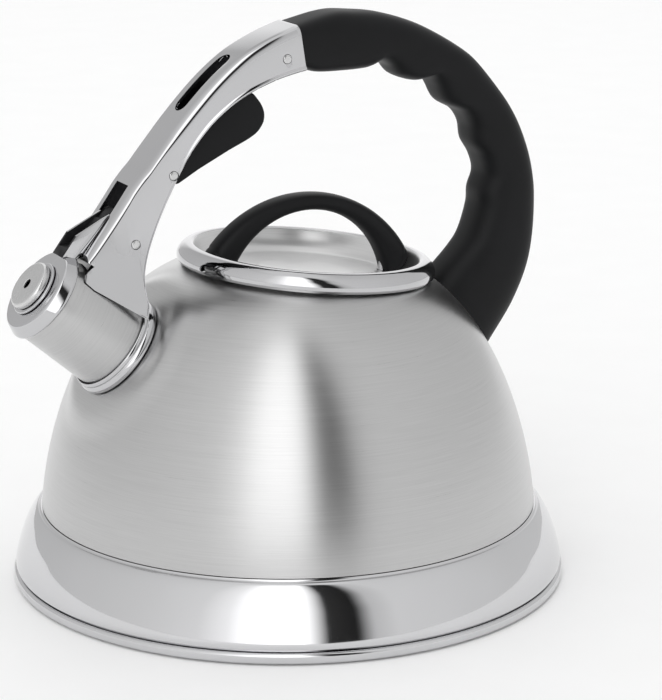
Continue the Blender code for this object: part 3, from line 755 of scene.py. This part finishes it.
def grip_edges(count):
    """Outer and inner edge of the grip, the inner one scalloped for four fingers."""
    outer = millimetres(
        (1.0, 222.0), (16.8, 225.45), (27.6, 225.15), (40.8, 223.2), (56.3, 218.0), (73.0, 208.8),
        (83.6, 200.1), (97.4, 182.8), (105.7, 166.0), (109.4, 149.3), (109.7, 132.5), (107.2, 116.2),
        (100.4, 100.4), (90.5, 86.0), (84.5, 78.0),
    )
    inner = millimetres(
        (3.7, 204.4), (12.0, 202.3), (30.6, 202.1), (37.5, 204.3), (42.4, 202.6), (46.4, 198.2),
        (53.4, 195.8), (59.4, 196.6), (63.4, 193.3), (67.6, 186.0), (75.2, 181.5), (79.1, 176.0),
        (80.4, 168.8), (84.4, 162.4), (86.3, 155.6), (84.0, 149.0), (83.5, 142.0), (79.8, 131.1),
        (74.8, 124.6), (67.0, 117.0), (58.5, 107.0),
    )
    return resample(smooth_curve(outer, 12), count), resample(smooth_curve(inner, 12), count)


def make_grip(plastic):
    """The moulded grip: a tenon inside the bracket, a scalloped bow and a foot on the dome."""
    count = 200
    around = 48
    outer, inner = grip_edges(count)
    tenon = [
        (Vector((-11.5, 214.6)) * MM, Vector((-9.5, 203.4)) * MM),
        (Vector((1.4, 219.1)) * MM, Vector((3.4, 206.0)) * MM),
    ]
    sections = [bar_section(outside, inside, 9.0 * MM, 0.35, around) for outside, inside in tenon]
    for step in range(count):
        share = step / (count - 1)
        half = (10.9 + 1.5 * ease(share * 4) + 0.6 * ease(share * 3 - 2)) * MM
        power = 0.5 + 0.22 * ease(share * 6)
        sections.append(bar_section(outer[step], inner[step], half, power, around))
    item = make_object("grip_bow", loft(sections))
    dome = dome_outline(CLEAR, 40 * MM)
    combine(item, lathe(dome + [(0.0, dome[-1][1]), (0.0, 40 * MM)], DOME_TURN))
    combine(item, rod(1.5 * MM, 20 * MM), place=rod_frame(GRIP_PIN))
    combine(item, box((-1.8 * MM, -5.3 * MM, -8 * MM), (1.8 * MM, 5.3 * MM, 20.3 * MM)), place=tang_frame())
    screw = tang_frame() @ Matrix.Translation((0.0, 0.0, 13 * MM)) @ Matrix.Rotation(math.pi / 2, 4, "Y")
    bore = millimetres((0.0, -8.0), (1.8, -8.0), (1.8, 8.0), (3.3, 8.0), (3.3, 40.0), (0.0, 40.0))
    combine(item, lathe(bore, 40), place=screw)
    dress(item, "kettle", [plastic], ["grip"])


def tang_frame():
    """Where the rear tang stands on the dome, its Z axis running up into the grip."""
    return Matrix.Translation(Vector((76.6, 0.0, 99.4)) * MM) @ Matrix.Rotation(math.radians(49.5), 4, "Y")


# ---------------------------------------------------------------- trigger and cover


def rounded_slab(outline, half_width, radius, full, none):
    """A slab with rounded edges, full to the right of one x and almost none to the left of another."""
    count = len(outline)
    points = [Vector(point) for point in outline]
    inward = []
    for index, point in enumerate(points):
        along = (points[(index + 1) % count] - points[index - 1]).normalized()
        share = 0.15 + 0.85 * ease((point.x - none) / (full - none))
        inward.append(Vector((-along.y, along.x)) * radius * share)
    steps = 6
    rings = []
    for step in range(steps + 1):
        turn = math.pi / 2 * step / steps
        rings.append((1 - math.sin(turn), half_width - radius * (1 - math.cos(turn))))
    rings += [(inset, -across) for inset, across in reversed(rings)]
    sections = []
    for inset, across in rings:
        ring = [point + shift * inset for point, shift in zip(points, inward)]
        sections.append([(point.x, across, point.y) for point in ring])
    return loft(sections)


def make_trigger(plastic):
    outline = millimetres(
        (-52.4, 164.9), (-49.7, 163.7), (-40.4, 168.9), (-27.7, 175.1), (-19.2, 178.8), (-15.2, 181.2),
        (-12.6, 185.0), (-12.3, 188.6), (-13.6, 192.0), (-17.4, 197.0), (-22.0, 197.6), (-29.5, 194.3),
        (-37.5, 188.6), (-45.0, 180.0), (-49.6, 174.6), (-54.2, 175.2), (-57.8, 174.3), (-60.4, 173.4),
        (-60.8, 171.6), (-58.4, 170.4), (-56.6, 168.4), (-55.4, 166.0),
    )
    edge = soften(outline, 3 * MM, 5)
    paddle = rounded_slab(edge, half_width=7 * MM, radius=1.4 * MM, full=-46 * MM, none=-56 * MM)
    item = make_object("finger_trigger", paddle)
    combine(item, box((-64 * MM, -1.2 * MM, 168 * MM), (-56.5 * MM, 1.2 * MM, 178 * MM)))
    combine(item, rod(1.5 * MM, 9 * MM), place=rod_frame(TRIGGER_PIVOT))
    combine(item, rod(0.9 * MM, 9 * MM), place=rod_frame(ROD_TRIGGER_END))
    dress(item, "trigger", [plastic], ["trigger"])


def make_cover(polished, shade_paint):
    """The cap over the spout with the open channel arm that carries it to the hinge pin."""
    cap = millimetres(
        (6.3, 67.4), (15.9, 67.4), (17.9, 64.6), (17.9, 63.2), (18.4, 63.2), (18.8, 63.5), (18.8, 64.3),
        (17.0, 67.9), (16.4, 68.4), (6.3, 68.4),
    )
    item = make_object("cap", lathe(soften(cap, 0.5 * MM, 3)), SPOUT_FRAME)
    item.data.transform(item.matrix_world)
    item.matrix_world = Matrix.Identity(4)
    arm = millimetres(
        (-96.8, 139.9), (-91.0, 147.6), (-77.2, 154.6), (-76.4, 153.8), (-78.2, 151.2), (-87.8, 139.8),
        (-90.6, 138.8), (-95.4, 140.2),
    )
    combine(item, slab(arm, 5 * MM), "UNION")
    channel = millimetres(
        (-94.9, 142.7), (-89.4, 143.6), (-80.0, 152.4), (-72.0, 152.4), (-74.0, 160.0), (-92.0, 153.0),
        (-98.5, 144.1),
    )
    combine(item, slab(channel, 3.8 * MM))
    knuckle = millimetres(
        (-80.0, 150.4), (-78.6, 152.9), (-74.4, 156.0), (-72.2, 156.0), (-70.6, 154.6), (-69.2, 152.4),
        (-69.6, 150.4), (-71.4, 149.7), (-74.0, 150.2), (-77.4, 149.9),
    )
    combine(item, slab(soften(knuckle, 1.2 * MM), 2.9 * MM), "UNION")
    combine(item, box((-73.3 * MM, -1.2 * MM, 146 * MM), (-66 * MM, 1.2 * MM, 160 * MM)))
    combine(item, rod(1.1 * MM, 12 * MM), place=rod_frame(COVER_PIVOT))
    combine(item, rod(0.9 * MM, 12 * MM), place=rod_frame(ROD_COVER_END))
    soften_edges(item, 0.18 * MM)
    dress(item, "cover", [polished, shade_paint], ["spout_cover"], 28)
    # Painted shade: the faces inside the arm's channel get the near-black steel.
    channel_half = 3.85 * MM
    channel_front = -95 * MM
    channel_foot = 141 * MM
    for face in item.data.polygons:
        centre = face.center
        if abs(centre.y) < channel_half and centre.x > channel_front and centre.z > channel_foot:
            face.material_index = 1


def make_whistle(polished, satin):
    base = millimetres(
        (3.6, 65.5), (5.9, 65.5), (5.9, 68.7), (11.2, 68.7), (11.2, 69.4), (10.8, 69.7), (3.6, 69.7)
    )
    item = make_object("whistle_foot", lathe(soften(base, 0.3 * MM, 3), 96), SPOUT_FRAME)
    dress(item, "cover", [polished], ["whistle_base"])
    cup = millimetres(
        (9.0, 70.0), (9.9, 70.0), (9.9, 71.6), (9.5, 72.4), (8.7, 72.8), (2.0, 72.8), (2.0, 72.0),
        (8.5, 72.0), (9.0, 71.5),
    )
    item = make_object("whistle_button", lathe(soften(cup, 0.7 * MM, 5), 96), SPOUT_FRAME)
    dress(item, "cover", [satin], ["whistle_cup"])


def finish_kept_nodes(nodes, materials):
    """The nodes that stay as they are get the finish of their slot."""
    for node, material in materials.items():
        item = nodes[node]
        item.data.materials.clear()
        item.data.materials.append(material)


# ---------------------------------------------------------------- studio


def view_axes():
    back = Vector(
        (
            -math.sin(VIEW_TURN) * math.cos(VIEW_RISE),
            -math.cos(VIEW_TURN) * math.cos(VIEW_RISE),
            math.sin(VIEW_RISE),
        )
    )
    right = Vector((math.cos(VIEW_TURN), -math.sin(VIEW_TURN), 0.0))
    return right, back.cross(right), back


def add_camera():
    right, up, back = view_axes()
    across, height = VIEW_TARGET
    place = right * across + Vector((0.0, 0.0, height)) + back * VIEW_DISTANCE
    data = bpy.data.cameras.new("camera")
    data.lens = LENS
    data.clip_start = 0.05
    camera = bpy.data.objects.new("camera", data)
    camera.matrix_world = Matrix.Translation(place) @ Matrix((right, up, back)).transposed().to_4x4()
    bpy.context.scene.collection.objects.link(camera)
    bpy.context.scene.camera = camera


def fill_ramp(ramp, stops):
    """Stops are (position, brightness) pairs."""
    elements = ramp.color_ramp.elements
    while len(elements) < len(stops):
        elements.new(0.5)
    for element, (position, value) in zip(elements, stops):
        element.position = position
        element.color = (value, value, value, 1.0)


def bearing_from_camera(nodes, links, direction):
    """The angle of a direction to the right of the camera, as 0-1 for a full turn from behind."""
    right, _, back = view_axes()
    forward = Vector((back.x, back.y, 0.0)).normalized()
    turn = nodes.new("ShaderNodeMath")
    turn.operation = "ARCTAN2"
    for socket, axis in zip(turn.inputs, (right, forward)):
        dot = nodes.new("ShaderNodeVectorMath")
        dot.operation = "DOT_PRODUCT"
        dot.inputs[1].default_value = axis
        links.new(direction, dot.inputs[0])
        links.new(dot.outputs["Value"], socket)
    share = nodes.new("ShaderNodeMapRange")
    share.inputs["From Min"].default_value = -math.pi
    share.inputs["From Max"].default_value = math.pi
    links.new(turn.outputs["Value"], share.inputs["Value"])
    return share.outputs["Result"]


def height_share(nodes, links, direction, low, high):
    """0 below one height of the unit sphere and 1 above another."""
    height = nodes.new("ShaderNodeSeparateXYZ")
    links.new(direction, height.inputs["Vector"])
    share = nodes.new("ShaderNodeMapRange")
    share.interpolation_type = "SMOOTHSTEP"
    share.inputs["From Min"].default_value = low
    share.inputs["From Max"].default_value = high
    links.new(height.outputs["Z"], share.inputs["Value"])
    return share.outputs["Result"]


def colour_socket(sockets, name):
    """The colour socket of a mix node, which has one of each kind under the same name."""
    return [socket for socket in sockets if socket.name == name and socket.type == "RGBA"][0]


def studio_light(nodes, links):
    """A pale studio all round: one bright panel and one dark gap beside the camera, even overhead."""
    direction = nodes.new("ShaderNodeTexCoord").outputs["Generated"]
    bands = nodes.new("ShaderNodeValToRGB")
    stops = [((angle + 180) / 360, value / STUDIO_STRENGTH) for angle, value in STUDIO_BANDS]
    fill_ramp(bands, stops)
    links.new(bearing_from_camera(nodes, links, direction), bands.inputs["Fac"])
    mix = nodes.new("ShaderNodeMix")
    mix.data_type = "RGBA"
    links.new(height_share(nodes, links, direction, 0.93, 0.99), mix.inputs["Factor"])
    links.new(bands.outputs["Color"], colour_socket(mix.inputs, "A"))
    overhead = STUDIO_OVERHEAD / STUDIO_STRENGTH
    colour_socket(mix.inputs, "B").default_value = (overhead, overhead, overhead, 1.0)
    return colour_socket(mix.outputs, "Result")


def add_world():
    """The studio lights the kettle, and the camera sees plain white behind the floor."""
    world = bpy.data.worlds.new("studio")
    bpy.context.scene.world = world
    world.use_nodes = True
    nodes = world.node_tree.nodes
    links = world.node_tree.links
    studio = nodes["Background"]
    studio.inputs["Strength"].default_value = STUDIO_STRENGTH
    links.new(studio_light(nodes, links), studio.inputs["Color"])
    plain = nodes.new("ShaderNodeBackground")
    plain.inputs["Color"].default_value = (1.0, 1.0, 1.0, 1.0)
    path = nodes.new("ShaderNodeLightPath")
    blend = nodes.new("ShaderNodeMixShader")
    links.new(path.outputs["Is Camera Ray"], blend.inputs["Fac"])
    links.new(studio.outputs["Background"], blend.inputs[1])
    links.new(plain.outputs["Background"], blend.inputs[2])
    links.new(blend.outputs["Shader"], nodes["World Output"].inputs["Surface"])


def add_area_light(name, place, size, power):
    data = bpy.data.lights.new(name, "AREA")
    data.shape = "RECTANGLE"
    data.size, data.size_y = size
    data.energy = power
    light = bpy.data.objects.new(name, data)
    light.location = place
    light.visible_glossy = False
    light.rotation_euler = (Vector((0.0, 0.0, 0.08)) - Vector(place)).to_track_quat("-Z", "Y").to_euler()
    bpy.context.scene.collection.objects.link(light)


def add_floor():
    maker = bmesh.new()
    bmesh.ops.create_grid(maker, x_segments=24, y_segments=24, size=6.0)
    floor = make_object("floor", maker, Matrix.Translation((0.0, 0.0, -0.1 * MM)))
    material, nodes, links, shader = new_material("floor_paper", (0.94, 0.94, 0.94), 0.8, 0.0, 0.1)
    grain = noise_over(nodes, links, 30.0)
    links.new(shade_colour(nodes, links, grain, (0.935,) * 3, (0.945,) * 3), shader.inputs["Base Color"])
    floor.data.materials.append(material)


def add_studio():
    add_camera()
    add_world()
    add_area_light("top_panel", (0.3, 0.8, 3.0), (4.0, 4.0), 24.0)
    add_area_light("left_panel", (-1.5, -0.9, 0.9), (1.0, 1.2), 1.5)
    add_floor()
    bpy.context.scene.view_settings.view_transform = "Standard"


# ---------------------------------------------------------------- build


def build():
    dome_steel = brushed_steel("dome_steel")
    spout_steel = brushed_steel("spout_steel", 0.56, 0.30, 0.4, 0.04)
    lid_steel = brushed_steel("lid_steel", 0.70, 0.33, 0.2, 0.05)
    skirt_steel = polished_steel("skirt_steel")
    bright_steel = polished_steel("bright_steel", 0.58, 0.05)
    button_steel = brushed_steel("button_steel", 0.66, 0.27, 0.2, 0.02)
    # Near-black steel: painted shade for the insides of the bracket and the cover arm, and for the push rod.
    painted_shade_steel = dark_shade_steel("painted_shade_steel")
    plastic = black_plastic("moulded_black")
    seal = silicone("seal_silicone")
    spreader = rolled_aluminium("spreader_aluminium")
    make_dome(dome_steel)
    make_skirt(skirt_steel)
    make_base(skirt_steel)
    make_spout(spout_steel, bright_steel)
    make_lid(lid_steel, bright_steel)
    make_lid_handle(plastic)
    make_bracket(bright_steel, painted_shade_steel)
    make_rivets(button_steel)
    make_grip(plastic)
    make_trigger(plastic)
    make_cover(bright_steel, painted_shade_steel)
    make_whistle(bright_steel, button_steel)
    # The push rod gets the near-black steel: painted shade for the rod inside the bracket's channel.
    kept = {
        "heat_disc": spreader, "mounting_tang": spout_steel, "rear_tang": spout_steel,
        "rear_screw": bright_steel, "cover_hinge_pin": bright_steel, "lid_screw_1": bright_steel,
        "lid_screw_2": bright_steel, "lid_washer_1": bright_steel, "lid_washer_2": bright_steel,
        "push_rod": painted_shade_steel, "rod_pin_trigger": bright_steel, "rod_pin_cover": bright_steel,
        "whistle_plate": bright_steel, "cover_gasket": seal, "cover_spring": bright_steel,
    }
    finish_kept_nodes(frame["nodes"], kept)
    add_studio()


build()
